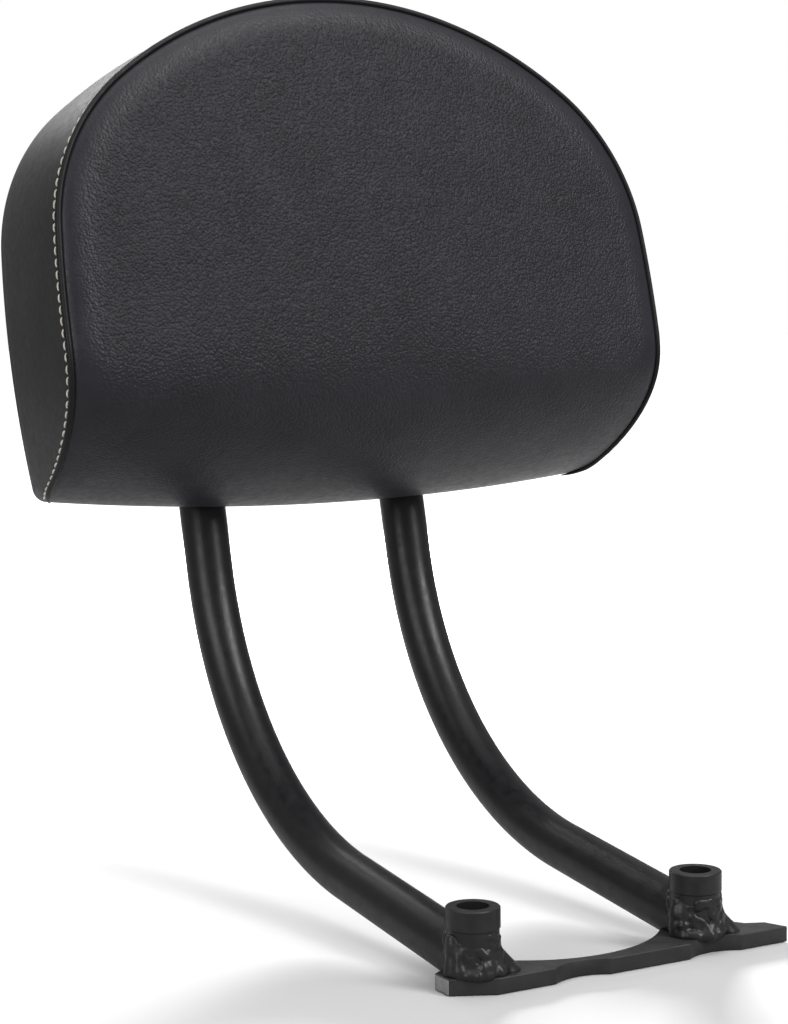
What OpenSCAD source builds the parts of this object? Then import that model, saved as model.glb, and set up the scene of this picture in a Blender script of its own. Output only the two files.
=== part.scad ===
// Padded backrest for a motorcycle passenger seat.
// Two bent tubes rise from a notched base plate and carry a D-shaped cushion.
// Millimetres. X is to the rider's side, Y to the rear, Z up.
// The origin is midway between the two bolt bores, on the plate's underside.

/* [Base plate] */
// thickness of the base plate
plate_t = 6; // [4:0.5:8]
// distance between the two bolt bores
bolt_span = 100; // [92:1:120]
// distance from the bore line to the plate's straight front edge
plate_front = 12.8; // [11.5:0.1:16]
// distance from the bore line to the plate's rear edge
plate_rear = 11; // [10:0.5:14]
// reach of the plate's left end past the left bore
left_reach = 13.4; // [13:0.2:20]
// reach of the plate's right end past the right bore
right_reach = 34.4; // [30:0.5:45]
// length of the cut corner at the left end, along the front
corner_cut_x = 16; // [10:0.5:18]
// depth of the cut corner at the left end
corner_cut_y = 8; // [5:0.5:8]
// width of the long arm at its outer end
arm_end_w = 9.5; // [7:0.5:10]
// lean of the arm's outer end towards the bores
arm_end_lean = 3.4; // [0:0.2:5]
// length of each shallow notch in the front edge
notch_len = 24; // [16:1:26]
// depth of each shallow notch
notch_depth = 3.6; // [2:0.1:3.8]
// place of the notch between the bores, from the middle
mid_notch_x = -10.6; // [-16:0.2:0]
// radius of the wide bay in the rear edge
bay_r = 54; // [50:1:60]
// depth of metal left in front of the bay at its deepest
bay_neck = 6.3; // [5.8:0.1:8]
// distance of the bay's middle to the right of the bores' middle
bay_x = 2; // [0:0.2:4]
// distance from the right bore to the shoulder between arm and rear corner
shoulder_reach = 24; // [21:0.5:28]
// distance of the shoulder in front of the bore line
shoulder_front = 0.2; // [-1:0.1:1]
// length of the cut at the rear corners
rear_cut = 9; // [6:0.5:9]

/* [Bushes] */
// outside diameter of a bush
bush_d = 20; // [18:0.5:24]
// height of a bush above the plate
bush_h = 24; // [18:0.5:32]
// diameter of the bolt bore through bush and plate
bore_d = 12; // [8:0.5:13]
// chamfer at a bush's top edge
bush_chamfer = 0.4; // [0.2:0.1:1.5]
// height of the collar at a bush's top
collar_h = 8; // [4:0.5:8]
// step from the collar in to the bush's body, all round
collar_step = 0.4; // [0.2:0.1:0.8]
// size of the weld fillet round a bush's foot
weld_fillet = 9; // [4:0.5:9]

/* [Tubes] */
// outside diameter of a tube
tube_d = 20; // [18:0.5:22]
// wall of a tube
tube_wall = 2; // [1.5:0.1:3]
// height of the tube's axis above the plate, on the bore line
tube_start_h = 4.2; // [2:0.2:8]
// rise of the lower straight above level, in degrees
low_angle = 7.5; // [4:0.5:12]
// length of the lower straight
low_len = 89.5; // [70:0.5:110]
// bend radius, to the tube's axis
bend_r = 146.5; // [120:0.5:180]
// angle of the bend, in degrees
bend_angle = 69; // [62:0.5:74]
// length of the upper straight, up behind the cushion
up_len = 185; // [170:1:195]
// thickness of an end cap's rim
cap_t = 2; // [1:0.5:4]
// depth of an end cap's plug inside the tube
cap_plug = 8; // [4:1:15]
// gap between an end cap's plug and the tube's bore, all round
cap_gap = 0.1; // [0.05:0.05:0.3]

/* [Cross plates] */
// thickness of a cross plate
cross_t = 4; // [3:0.5:6]
// height of a cross plate
cross_h = 30; // [26:1:40]
// reach of a cross plate past each tube's axis
cross_over = 12; // [11:0.5:16]
// depth to which a tube seats in a cross plate
cross_seat = 0.5; // [0.3:0.1:0.8]
// height of the lower cross plate's middle above the bend
low_cross_z = 72; // [66:1:84]
// distance from the upper cross plate's middle to the tubes' upper ends
up_cross_drop = 33; // [25:1:40]

/* [Cushion] */
// width of the cushion at its back
pad_w = 272; // [250:1:300]
// height of the cushion
pad_h = 211; // [206:1:236]
// depth of the cushion from its back to the seam
pad_d = 73.5; // [60:0.5:85]
// height of the cushion's lower edge above the bend
pad_low = 23; // [15:0.5:35]
// widening of the cushion from back to seam, each side
pad_flare = 4; // [0:0.5:8]
// drop of the cushion from back to seam
pad_drop = 8; // [0:0.5:14]
// crown of the front panel over its seam
pad_crown = 9; // [4:0.5:16]
// swell of the side band
band_swell = 1.5; // [0:0.1:3]
// radius of the cushion's sides
side_r = 540; // [400:10:700]
// radius of the lower corners
corner_r = 6; // [5:0.5:20]
// height over which the front panel wraps under
wrap_h = 68; // [56:1:80]
// height of the band where it ends, at the lower corners
band_low = 9; // [8.6:0.1:12]
// thickness of the cover with its lining
cover_t = 2; // [1.5:0.1:3]
// thickness of the rear cover
rear_t = 1.5; // [1:0.1:2]
// thickness of the board inside the cushion
board_t = 5; // [4:0.5:5.5]
// half width of the piped welt on the seam
welt_half = 1.5; // [1:0.1:1.6]
// height of the piped welt
welt_h = 1.4; // [0.8:0.1:2.4]

/* [Screws] */
// distance between the two screws of a cross plate
screw_span = 60; // [50:1:70]
// thread diameter of a screw
screw_d = 6; // [5:0.5:6]
// clearance of a screw's hole, on the diameter
screw_clear = 0.6; // [0.4:0.1:1]
// head diameter of a screw
head_d = 11; // [9:0.5:12]
// diameter of a screw's domed head at its top
head_top_d = 6.8; // [6:0.2:8.5]
// head height of a screw
head_h = 3.3; // [2.5:0.1:4]
// key socket across its flats
socket_w = 4; // [3:0.5:4.5]
// depth of the key socket
socket_depth = 2; // [1:0.1:2.2]
// diameter of a washer
washer_d = 14; // [12:0.5:16]
// thickness of a washer
washer_t = 1.4; // [1:0.1:2]
// barrel diameter of a tee nut
tee_barrel_d = 8; // [7.5:0.1:9]
// flange diameter of a tee nut
tee_flange_d = 18; // [14:0.5:20]
// flange thickness of a tee nut
tee_flange_t = 1.2; // [1:0.1:1.6]

/* [Hidden] */
LEFT = -1;
RIGHT = 1;
LOW = 0;
UP = 1;

steel_paint = [0.07, 0.07, 0.075];
zinc = [0.62, 0.62, 0.6];
cap_black = [0.05, 0.05, 0.05];
vinyl_black = [0.1, 0.1, 0.11];
board_tan = [0.55, 0.42, 0.28];
foam_grey = [0.72, 0.7, 0.66];

// extra length of a cutting body past the face it cuts
over = 1;
// facets of round pieces
round_fn = 64;
// facets round a tube and rows along its bend
tube_sides = 36;
bend_steps = 18;

half_span = bolt_span / 2;
bush_r = bush_d / 2;
bore_r = bore_d / 2;
tube_r = tube_d / 2;
body_r = bush_r - collar_step;

// path of a tube in the plane X = const, as [y, z]
low_start = [0, plate_t + tube_start_h];
bend_start = low_start + low_len * [cos(low_angle), sin(low_angle)];
bend_centre = bend_start + bend_r * [-sin(low_angle), cos(low_angle)];
up_angle = low_angle + bend_angle;
bend_end = bend_centre + bend_r * [sin(up_angle), -cos(up_angle)];
lean = 90 - up_angle;

// distances in front of the tubes' axes, inside the leaning frame
cross_back = tube_r - cross_seat;
pad_back = cross_back + cross_t;
board_front = rear_t + board_t;

// Base plate

notch_r = (pow(notch_len / 2, 2) + pow(notch_depth, 2)) / (2 * notch_depth);
bay_y = bay_r - bay_neck;
// the cut at the rear corners, at the left end and from the arm's shoulder inwards
left_drop = 0.7 * rear_cut;
right_drop = 0.4 * rear_cut;
right_run = rear_cut / 3;

module plate_outline() {
    left_x = -half_span - left_reach;
    right_x = half_span + right_reach;
    rear_x = half_span + bush_r;
    difference() {
        polygon([
            [left_x, plate_rear - left_drop],
            [left_x, -plate_front + corner_cut_y],
            [left_x + corner_cut_x, -plate_front],
            [right_x, -plate_front],
            [right_x - arm_end_lean, -plate_front + arm_end_w],
            [half_span + shoulder_reach, -shoulder_front],
            [rear_x + rear_cut, plate_rear - right_drop],
            [rear_x + right_run, plate_rear],
            [left_x + rear_cut, plate_rear]
        ]);
        for (x = [mid_notch_x, half_span])
            translate([x, -plate_front - notch_r + notch_depth])
                circle(r = notch_r, $fn = round_fn * 2);
        translate([bay_x, bay_y])
            circle(r = bay_r, $fn = round_fn * 2);
    }
}

module base_plate() {
    color(steel_paint)
    difference() {
        linear_extrude(plate_t) plate_outline();
        for (side = [LEFT, RIGHT])
            translate([side * half_span, 0, -over])
                cylinder(r = bore_r, h = plate_t + 2 * over, $fn = round_fn);
    }
}

// Bushes and their welds

// half of a bush's section: a turned sleeve with a collar round its top
bush_section = [
    [bore_r, 0],
    [body_r, 0],
    [body_r, bush_h - collar_h],
    [bush_r, bush_h - collar_h + collar_step],
    [bush_r, bush_h - bush_chamfer],
    [bush_r - bush_chamfer, bush_h],
    [bore_r, bush_h]];

module bush(side) {
    color(steel_paint)
    translate([side * half_span, 0, plate_t])
        rotate_extrude($fn = round_fn)
            polygon(bush_section);
}

// how far the middle of a fillet's face stands out, of the fillet's size
weld_hollow = 0.42;

// the fillet runs round the bush's front half, as far as the plate reaches
module foot_weld(side) {
    color(steel_paint)
    intersection() {
        translate([side * half_span, 0, plate_t])
            rotate([0, 0, 180])
                rotate_extrude(angle = 180, $fn = round_fn)
                    polygon([[body_r, 0], [body_r + weld_fillet, 0],
                        [body_r + weld_fillet * weld_hollow, weld_fillet * weld_hollow],
                        [body_r, weld_fillet]]);
        translate([0, 0, plate_t - over]) linear_extrude(weld_fillet + 2 * over) plate_outline();
    }
}

// Tubes

// places its child at the start of a tube's lower straight, along it
module low_straight(side) {
    translate([side * half_span, low_start[0], low_start[1]])
        rotate([low_angle - 90, 0, 0])
            children();
}

// places its child in the leaning frame of the upper straights:
// Z up the tubes, -Y to the front, the origin at the end of the bends
module leaning() {
    translate([0, bend_end[0], bend_end[1]])
        rotate([-lean, 0, 0])
            children();
}

// the stations of a tube's axis, as [y, z, angle above level]
bend_at = [for (k = [0:bend_steps]) low_angle + bend_angle * k / bend_steps];
stations = concat(
    [[low_start[0], low_start[1], low_angle]],
    [for (a = bend_at) [bend_centre[0] + bend_r * sin(a), bend_centre[1] - bend_r * cos(a), a]],
    [[bend_end[0] + up_len * cos(up_angle), bend_end[1] + up_len * sin(up_angle), up_angle]]);

// a round row of points about one station
function hoop(side, station, r) = [for (i = [0:tube_sides - 1]) let (t = 360 * i / tube_sides)
    [side * half_span + r * cos(t), station[0] - r * sin(t) * sin(station[2]),
     station[1] + r * sin(t) * cos(station[2])]];

module tube(side) {
    last = len(stations) - 1;
    outside = [for (k = [0:last]) each hoop(side, stations[k], tube_r)];
    inside = [for (k = [last:-1:0]) each hoop(side, stations[k], tube_r - tube_wall)];
    color(steel_paint)
    difference() {
        polyhedron(concat(outside, inside), closed_sheet(tube_sides, 2 * (last + 1)));
        // the lower end is coped over the bush and the plate
        translate([side * half_span, 0, plate_t])
            cylinder(r = body_r, h = bush_h + tube_d, $fn = round_fn);
        translate([side * half_span, 0, plate_t + bush_h - collar_h])
            cylinder(r = bush_r, h = collar_h + tube_d, $fn = round_fn);
        translate([0, 0, -tube_d]) linear_extrude(plate_t + tube_d) plate_outline();
    }
}

module end_cap(side) {
    color(cap_black)
    leaning()
        translate([side * half_span, 0, up_len]) {
            cylinder(r = tube_r, h = cap_t, $fn = round_fn);
            translate([0, 0, -cap_plug])
                cylinder(r = tube_r - tube_wall - cap_gap, h = cap_plug, $fn = round_fn);
        }
}

// Cross plates and fasteners

cross_z = [low_cross_z, up_len - up_cross_drop];

module cross_plate(level) {
    color(steel_paint)
    leaning()
    difference() {
        translate([-half_span - cross_over, -pad_back, cross_z[level] - cross_h / 2])
            cube([bolt_span + 2 * cross_over, cross_t, cross_h]);
        for (side = [LEFT, RIGHT])
            translate([side * half_span, 0, 0])
                cylinder(r = tube_r, h = up_len, $fn = round_fn);
        for (side = [LEFT, RIGHT])
            forward(side, level, cross_back - over)
                cylinder(d = screw_d + screw_clear, h = cross_t + 2 * over, $fn = round_fn);
    }
}

// places its child on a screw's axis, a distance in front of the tubes, along it
module forward(side, level, distance) {
    translate([side * screw_span / 2, -distance, cross_z[level]])
        rotate([90, 0, 0])
            children();
}

module screw(side, level) {
    tip = pad_back + board_front - tee_flange_t / 2;
    shank = tip - cross_back + washer_t;
    color(zinc)
    leaning()
    forward(side, level, cross_back - washer_t)
    difference() {
        union() {
            cylinder(d = screw_d, h = shank, $fn = round_fn);
            translate([0, 0, -head_h])
                cylinder(d1 = head_top_d, d2 = head_d, h = head_h, $fn = round_fn);
        }
        translate([0, 0, -head_h - over])
            cylinder(d = socket_w / cos(30), h = socket_depth + over, $fn = 6);
    }
}

module washer(side, level) {
    color(zinc)
    leaning()
    forward(side, level, cross_back - washer_t)
        linear_extrude(washer_t)
            difference() {
                circle(d = washer_d, $fn = round_fn);
                circle(d = screw_d + screw_clear, $fn = round_fn);
            }
}

module tee_nut(side, level) {
    thread_gap = 0.1;
    color(zinc)
    leaning()
    forward(side, level, pad_back + rear_t)
    difference() {
        union() {
            cylinder(d = tee_barrel_d, h = board_t, $fn = round_fn);
            translate([0, 0, board_t - tee_flange_t])
                cylinder(d = tee_flange_d, h = tee_flange_t, $fn = round_fn);
        }
        translate([0, 0, -over])
            cylinder(d = screw_d + thread_gap, h = board_t + 2 * over, $fn = round_fn);
    }
}

// Cushion

// The outline is a D made of arcs that run into each other. Going down one
// half, the direction turns from level at the top through these angles.
turns = [0, 40, 86, 96.6, 173.6, 180];
// facets along each arc
arc_steps = [8, 10, 5, 5, 6];

// how far an arc of radius 1 runs across and down between its two directions
function dsin(k) = sin(turns[k + 1]) - sin(turns[k]);
function dcos(k) = cos(turns[k]) - cos(turns[k + 1]);
// the width and height that the side, corner and bottom arcs leave
top_w = pad_w / 2 - side_r * (1 - sin(turns[2]));
bottom_w = top_w + side_r * dsin(2) + corner_r * dsin(3);
bottom_r = bottom_w / sin(turns[4]);
top_h = pad_h - side_r * dcos(2) - corner_r * dcos(3) - bottom_r * dcos(4);
solve = dsin(0) * dcos(1) - dcos(0) * dsin(1);
top_r = (top_w * dcos(1) - top_h * dsin(1)) / solve;
shoulder_r = (dsin(0) * top_h - dcos(0) * top_w) / solve;
arcs = [top_r, shoulder_r, side_r, corner_r, bottom_r];

// the directions at the outline's points, down the right half and up the left
half_turns = [for (k = [0:4]) for (i = [0:arc_steps[k] - 1])
    turns[k] + (turns[k + 1] - turns[k]) * i / arc_steps[k]];
half_n = len(half_turns);
rim_turns = concat(half_turns, [turns[5]], [for (i = [half_n - 1:-1:1]) half_turns[i]]);
rim_n = len(rim_turns);
function hand(i) = i <= half_n ? 1 : -1;

function held(t, k) = min(max(t, turns[k]), turns[k + 1]);
function run_x(t, in) = [for (k = [0:4]) (arcs[k] - in) * (sin(held(t, k)) - sin(turns[k]))]
    * [1, 1, 1, 1, 1];
function run_z(t, in) = [for (k = [0:4]) (arcs[k] - in) * (cos(held(t, k)) - cos(turns[k]))]
    * [1, 1, 1, 1, 1];

pad_top = pad_low + pad_h;
// a point of the outline, set in by a distance, as [x, z]
function rim(i, in) = [hand(i) * run_x(rim_turns[i], in), pad_top - in + run_z(rim_turns[i], in)];

// the wrap: the front panel turns under between these heights
corner_z = pad_low + bottom_r * dcos(4);
wrap_top = pad_low + wrap_h;
// the wrap starts softly and ends nearly round
wrap_start = 2.5;
wrap_end = 1.6;
function low_edge(x, in) = in + min(corner_z, pad_low + x * x / (2 * bottom_r));
function wrap(x, z, in) =
    let (u = min(1, max(0, (wrap_top - z) / (wrap_top - low_edge(x, in)))))
    pow(max(0, 1 - pow(u, wrap_start - (wrap_start - wrap_end) * u)), 1 / wrap_end);
// depth of the front surface over the cushion's back at [x, z], with no crown
function front_depth(x, z, in) = band_low + (pad_d - in - band_low) * wrap(x, z, in);
function seam_depth(i, in) = let (p = rim(i, in))
    i == 0 || abs(rim_turns[i]) < turns[4] ? front_depth(p[0], p[1], in) : band_low;

// the cushion widens and drops towards its front
function placed(x, z, b) = [
    x * (1 + 2 * pad_flare / pad_w * b / pad_d),
    -pad_back - b,
    z - pad_drop * b / pad_d];

// the band's rows from back to seam, at one point of the outline
band_rows = 5;
function band_depth(i, j, in) = let (s = seam_depth(i, in))
    j == 0 ? 0
    : j == band_rows ? s
    : board_front + (s - welt_half - board_front) * (j - 1) / (band_rows - 2);
function band_point(i, j, in) =
    let (b = band_depth(i, j, in), s = seam_depth(i, in),
         swell = j < 2 || j == band_rows ? 0
             : band_swell * sin(180 * (b - board_front) / (s - board_front)) * s / pad_d,
         p = rim(i, in - swell))
    placed(p[0], p[1], b);

// the front panel's rows from seam to middle
front_rows = 12;
// height of the front panel's middle, as a share of the cushion's height
middle_share = 0.48;
middle_z = pad_low + pad_h * middle_share;
// a higher power keeps the panel flatter in its middle
crown_power = 3;
function shrink(j) = cos(90 * j / front_rows);
function front_point(i, j, in) =
    let (g = shrink(j), p = rim(i, in), x = g * p[0], z = middle_z + g * (p[1] - middle_z),
         b = j == 0 ? seam_depth(i, in) : front_depth(x, z, in))
    placed(x, z, b + pad_crown * sqrt(1 - pow(g, crown_power)));

// the two triangles between rows j and j + 1 and columns i and i + 1
function cell(a, n, i) = let (k = (i + 1) % n)
    [[a + i, a + k, a + n + k], [a + i, a + n + k, a + n + i]];
function sheet(a, n, rows) = [for (j = [0:rows - 1]) for (i = [0:n - 1]) each cell(a + j * n, n, i)];
// rows of which the last joins the first again
function closed_sheet(n, rows) = let (last = (rows - 1) * n)
    concat(sheet(0, n, rows - 1),
        [for (i = [0:n - 1]) let (k = (i + 1) % n) each [[last + i, last + k, k], [last + i, k, i]]]);
function flipped(faces) = [for (f = faces) [f[2], f[1], f[0]]];
// triangles from the last row to one middle point
function fan(a, n, tip) = [for (i = [0:n - 1]) [a + i, a + (i + 1) % n, tip]];

// a slice of the cushion between two depths, inside the cover
module slice(b1, b2) {
    points = [for (b = [b1, b2]) for (i = [0:rim_n - 1]) let (p = rim(i, cover_t)) placed(p[0], p[1], b)];
    polyhedron(points, concat(
        [[for (i = [rim_n - 1:-1:0]) i]],
        sheet(0, rim_n, 1),
        [[for (i = [0:rim_n - 1]) rim_n + i]]));
}

module screw_holes(d, from, to) {
    for (side = [LEFT, RIGHT]) for (level = [LOW, UP])
        forward(side, level, from) cylinder(d = d, h = to - from, $fn = round_fn);
}

module backrest_board() {
    back = pad_back + rear_t;
    front = pad_back + board_front;
    color(board_tan)
    leaning()
    difference() {
        slice(rear_t, board_front);
        screw_holes(tee_barrel_d, back - over, front + over);
        screw_holes(tee_flange_d, front - tee_flange_t, front + over);
    }
}

module rear_cover() {
    color(vinyl_black)
    leaning()
    difference() {
        slice(0, rear_t);
        screw_holes(screw_d + screw_clear, pad_back - over, pad_back + rear_t + over);
    }
}

module foam_core() {
    band = [for (j = [1:band_rows - 1]) for (i = [0:rim_n - 1]) band_point(i, j, cover_t)];
    front = [for (j = [0:front_rows - 1]) for (i = [0:rim_n - 1]) front_point(i, j, cover_t)];
    rows = band_rows - 1 + front_rows;
    tip = rows * rim_n;
    color(foam_grey)
    leaning()
    polyhedron(
        concat(band, front, [front_point(0, front_rows, cover_t)]),
        concat(
            [[for (i = [rim_n - 1:-1:0]) i]],
            sheet(0, rim_n, rows - 1),
            fan(tip - rim_n, rim_n, tip)));
}

// the band is a ring: outside rows from back to seam, then inside rows back again
module side_band() {
    outside = [for (j = [0:band_rows]) for (i = [0:rim_n - 1]) band_point(i, j, 0)];
    inside = [for (j = [band_rows:-1:0]) for (i = [0:rim_n - 1]) band_point(i, j, cover_t)];
    color(vinyl_black)
    leaning()
    polyhedron(concat(outside, inside), closed_sheet(rim_n, 2 * (band_rows + 1)));
}

// the front panel is a shell: outside rows, its middle, then the inside rows
module front_cover() {
    outside = [for (j = [0:front_rows - 1]) for (i = [0:rim_n - 1]) front_point(i, j, 0)];
    inside = [for (j = [0:front_rows - 1]) for (i = [0:rim_n - 1]) front_point(i, j, cover_t)];
    half = front_rows * rim_n;
    tip = 2 * half;
    color(vinyl_black)
    leaning()
    polyhedron(
        concat(outside, inside, [front_point(0, front_rows, 0), front_point(0, front_rows, cover_t)]),
        concat(
            sheet(0, rim_n, front_rows - 1),
            fan(half - rim_n, rim_n, tip),
            flipped(sheet(half, rim_n, front_rows - 1)),
            flipped(fan(tip - rim_n, rim_n, tip + 1)),
            [for (i = [0:rim_n - 1]) each let (k = (i + 1) % rim_n)
                [[i, half + k, k], [i, half + i, half + k]]]));
}

// the welt is a bead laid along the seam, from one lower corner over the top to the other
welt_end = half_n - arc_steps[4] - 1;
welt_path = [for (i = [-welt_end:welt_end]) (i + rim_n) % rim_n];

// the welt's shoulders and crest, as shares of its height
welt_shoulder = 0.7;
welt_crest = 0.8;
function welt_section(i) =
    let (a = band_point(i, band_rows - 1, 0), s = front_point(i, 0, 0), c = front_point(i, 1, 0),
         out = [hand(i) * sin(rim_turns[i]), 0, cos(rim_turns[i])], ahead = [0, -1, 0])
    [a, s, c,
     c + welt_h * welt_shoulder * ahead,
     s + welt_h * welt_crest * (out + ahead),
     a + welt_h * welt_shoulder * out];

module seam_welt() {
    sections = [for (i = welt_path) welt_section(i)];
    k = len(sections[0]);
    n = len(sections);
    color(vinyl_black)
    leaning()
    polyhedron(
        [for (s = sections) each s],
        concat(
            [[for (j = [k - 1:-1:0]) j]],
            sheet(0, k, n - 1),
            [[for (j = [0:k - 1]) (n - 1) * k + j]]));
}

base_plate();
bush(LEFT);  // left_bush
bush(RIGHT);  // right_bush
tube(LEFT);  // left_tube
tube(RIGHT);  // right_tube
foot_weld(LEFT);  // left_foot_weld
foot_weld(RIGHT);  // right_foot_weld
end_cap(LEFT);  // left_end_cap
end_cap(RIGHT);  // right_end_cap
cross_plate(LOW);  // lower_cross_plate
cross_plate(UP);  // upper_cross_plate
screw(LEFT, LOW);  // screw_low_left
screw(RIGHT, LOW);  // screw_low_right
screw(LEFT, UP);  // screw_up_left
screw(RIGHT, UP);  // screw_up_right
washer(LEFT, LOW);  // washer_low_left
washer(RIGHT, LOW);  // washer_low_right
washer(LEFT, UP);  // washer_up_left
washer(RIGHT, UP);  // washer_up_right
tee_nut(LEFT, LOW);  // tee_nut_low_left
tee_nut(RIGHT, LOW);  // tee_nut_low_right
tee_nut(LEFT, UP);  // tee_nut_up_left
tee_nut(RIGHT, UP);  // tee_nut_up_right
backrest_board();
foam_core();
rear_cover();
side_band();
front_cover();
seam_welt();
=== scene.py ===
"""Looks of a padded passenger backrest: cushion, stitching, painted steel, welds and studio."""
import math
import random

import bmesh
import bpy
import numpy as np
from mathutils import Matrix, Vector, noise
from mathutils.kdtree import KDTree


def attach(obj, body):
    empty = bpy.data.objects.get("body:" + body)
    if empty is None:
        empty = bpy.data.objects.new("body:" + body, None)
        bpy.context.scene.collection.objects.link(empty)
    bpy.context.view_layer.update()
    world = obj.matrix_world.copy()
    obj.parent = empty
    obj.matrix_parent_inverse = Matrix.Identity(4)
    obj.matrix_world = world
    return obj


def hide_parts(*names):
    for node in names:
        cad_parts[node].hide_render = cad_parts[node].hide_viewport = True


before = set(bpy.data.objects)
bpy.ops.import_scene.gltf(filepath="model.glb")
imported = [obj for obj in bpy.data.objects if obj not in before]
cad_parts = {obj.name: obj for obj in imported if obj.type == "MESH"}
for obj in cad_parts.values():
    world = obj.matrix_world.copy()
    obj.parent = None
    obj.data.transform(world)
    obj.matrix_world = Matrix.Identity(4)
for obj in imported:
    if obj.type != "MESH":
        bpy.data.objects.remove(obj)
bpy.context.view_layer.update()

MM = 0.001
LEFT, RIGHT = -1, 1

# Sizes that the solids share, in millimetres and degrees.
PLATE_T, BOLT_SPAN = 6, 100
BODY_R = 9.6
TUBE_R, TUBE_WALL, TUBE_START_H, LOW_ANGLE, LOW_LEN = 10, 2, 4.2, 7.5, 89.5
BEND_R, BEND_ANGLE, UP_LEN = 146.5, 69, 185
CROSS_T, CROSS_SEAT, CROSS_Z = 4, 0.5, (72, 152)
PAD_W, PAD_H, PAD_D, PAD_LOW = 272, 211, 73.5, 23
PAD_FLARE, PAD_DROP, PAD_CROWN, BAND_SWELL = 4, 8, 9, 1.5
SIDE_R, CORNER_R, WRAP_H, BAND_LOW = 540, 6, 68, 4
# the front panel's curve under is flat at its start and rounder at its end
WRAP_START, WRAP_END = 2.5, 1.6
# where the arcs of the cushion's outline start and end, from its top round to its bottom
TURNS = (0, 40, 86, 96.6, 173.6, 180)

HALF_SPAN = BOLT_SPAN / 2
UP_ANGLE = LOW_ANGLE + BEND_ANGLE
LEAN = 90 - UP_ANGLE
PAD_BACK = TUBE_R - CROSS_SEAT + CROSS_T


def sind(a):
    return math.sin(math.radians(a))


def cosd(a):
    return math.cos(math.radians(a))


def smoothstep(a, b, x):
    t = min(1, max(0, (x - a) / (b - a)))
    return t * t * (3 - 2 * t)


LOW_START = Vector((0, PLATE_T + TUBE_START_H))
BEND_START = LOW_START + LOW_LEN * Vector((cosd(LOW_ANGLE), sind(LOW_ANGLE)))
BEND_CENTRE = BEND_START + BEND_R * Vector((-sind(LOW_ANGLE), cosd(LOW_ANGLE)))
BEND_END = BEND_CENTRE + BEND_R * Vector((sind(UP_ANGLE), -cosd(UP_ANGLE)))

# From the leaning frame of the upper tubes, in millimetres, to the part's frame in metres.
LEANING = (Matrix.Scale(MM, 4) @ Matrix.Translation((0, BEND_END[0], BEND_END[1]))
           @ Matrix.Rotation(math.radians(-LEAN), 4, "X"))


# Meshes

def new_object(name, data):
    made = bpy.data.objects.new(name, data)
    bpy.context.scene.collection.objects.link(made)
    return made


def all_smooth(mesh):
    mesh.polygons.foreach_set("use_smooth", [True] * len(mesh.polygons))


def new_piece(name, verts, faces, material):
    mesh = bpy.data.meshes.new(name)
    mesh.from_pydata([tuple(v) for v in verts], [], faces)
    mesh.update()
    all_smooth(mesh)
    piece = new_object(name, mesh)
    piece.data.materials.append(material)
    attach(piece, "root")
    return piece


def grid_faces(rows, columns, start=0, closed=True):
    """Quads between consecutive rows of points; closed joins each row's ends."""
    faces = []
    for j in range(rows - 1):
        for i in range(columns if closed else columns - 1):
            k = (i + 1) % columns
            a, b = start + j * columns, start + (j + 1) * columns
            faces.append((a + i, a + k, b + k, b + i))
    return faces


def end_faces(rows, columns, start=0):
    """The two faces that close a rod of such rows."""
    last = start + (rows - 1) * columns
    return [tuple(range(start, start + columns))[::-1], tuple(range(last, last + columns))]


def sweep(name, stations, sides, material):
    """A round rod along stations of (centre, across, up, radius)."""
    verts, faces = [], []
    for centre, across, up, r in stations:
        for s in range(sides):
            t = 2 * math.pi * s / sides
            verts.append(Vector(centre) + r * (math.cos(t) * Vector(across) + math.sin(t) * Vector(up)))
    faces = grid_faces(len(stations), sides)
    faces += end_faces(len(stations), sides)
    return new_piece(name, verts, faces, material)


# Materials

class Nodes:
    """A short way to add nodes to one material and join them."""

    def __init__(self, name):
        self.material = bpy.data.materials.new(name)
        self.material.use_nodes = True
        self.tree = self.material.node_tree
        self.shader = self.tree.nodes["Principled BSDF"]

    def add(self, kind, links=None, **values):
        node = self.tree.nodes.new("ShaderNode" + kind)
        for key, value in values.items():
            if key.startswith("in_"):
                node.inputs[key[3:].replace("_", " ")].default_value = value
            else:
                setattr(node, key, value)
        for socket, source in (links or {}).items():
            self.tree.links.new(source, node.inputs[socket])
        return node

    def join(self, source, target):
        self.tree.links.new(source, target)

    def set(self, **values):
        for key, value in values.items():
            self.shader.inputs[key.replace("_", " ")].default_value = value

    def place(self):
        return self.add("TexCoord").outputs["Object"]

    def scatter(self, scale, low, high, detail=3.0):
        """Noise in the range low to high."""
        tex = self.add("TexNoise", {"Vector": self.place()}, in_Scale=scale, in_Detail=detail)
        span = self.add("MapRange", {"Value": tex.outputs["Fac"]}, in_From_Min=0.3, in_From_Max=0.7,
                        in_To_Min=low, in_To_Max=high)
        return span.outputs["Result"]

    def tint(self, factor, first, second):
        """A mix of two colours."""
        mix = self.add("Mix", data_type="RGBA")
        self.join(factor, mix.inputs["Factor"])
        # the colour sockets of a mix node come after its number and vector ones
        mix.inputs[6].default_value = (*first, 1)
        mix.inputs[7].default_value = (*second, 1)
        return mix.outputs[2]

    def bump(self, height, distance, strength=1.0, under=None):
        node = self.add("Bump", {"Height": height}, in_Distance=distance, in_Strength=strength)
        if under is not None:
            self.join(under, node.inputs["Normal"])
        return node.outputs["Normal"]


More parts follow.
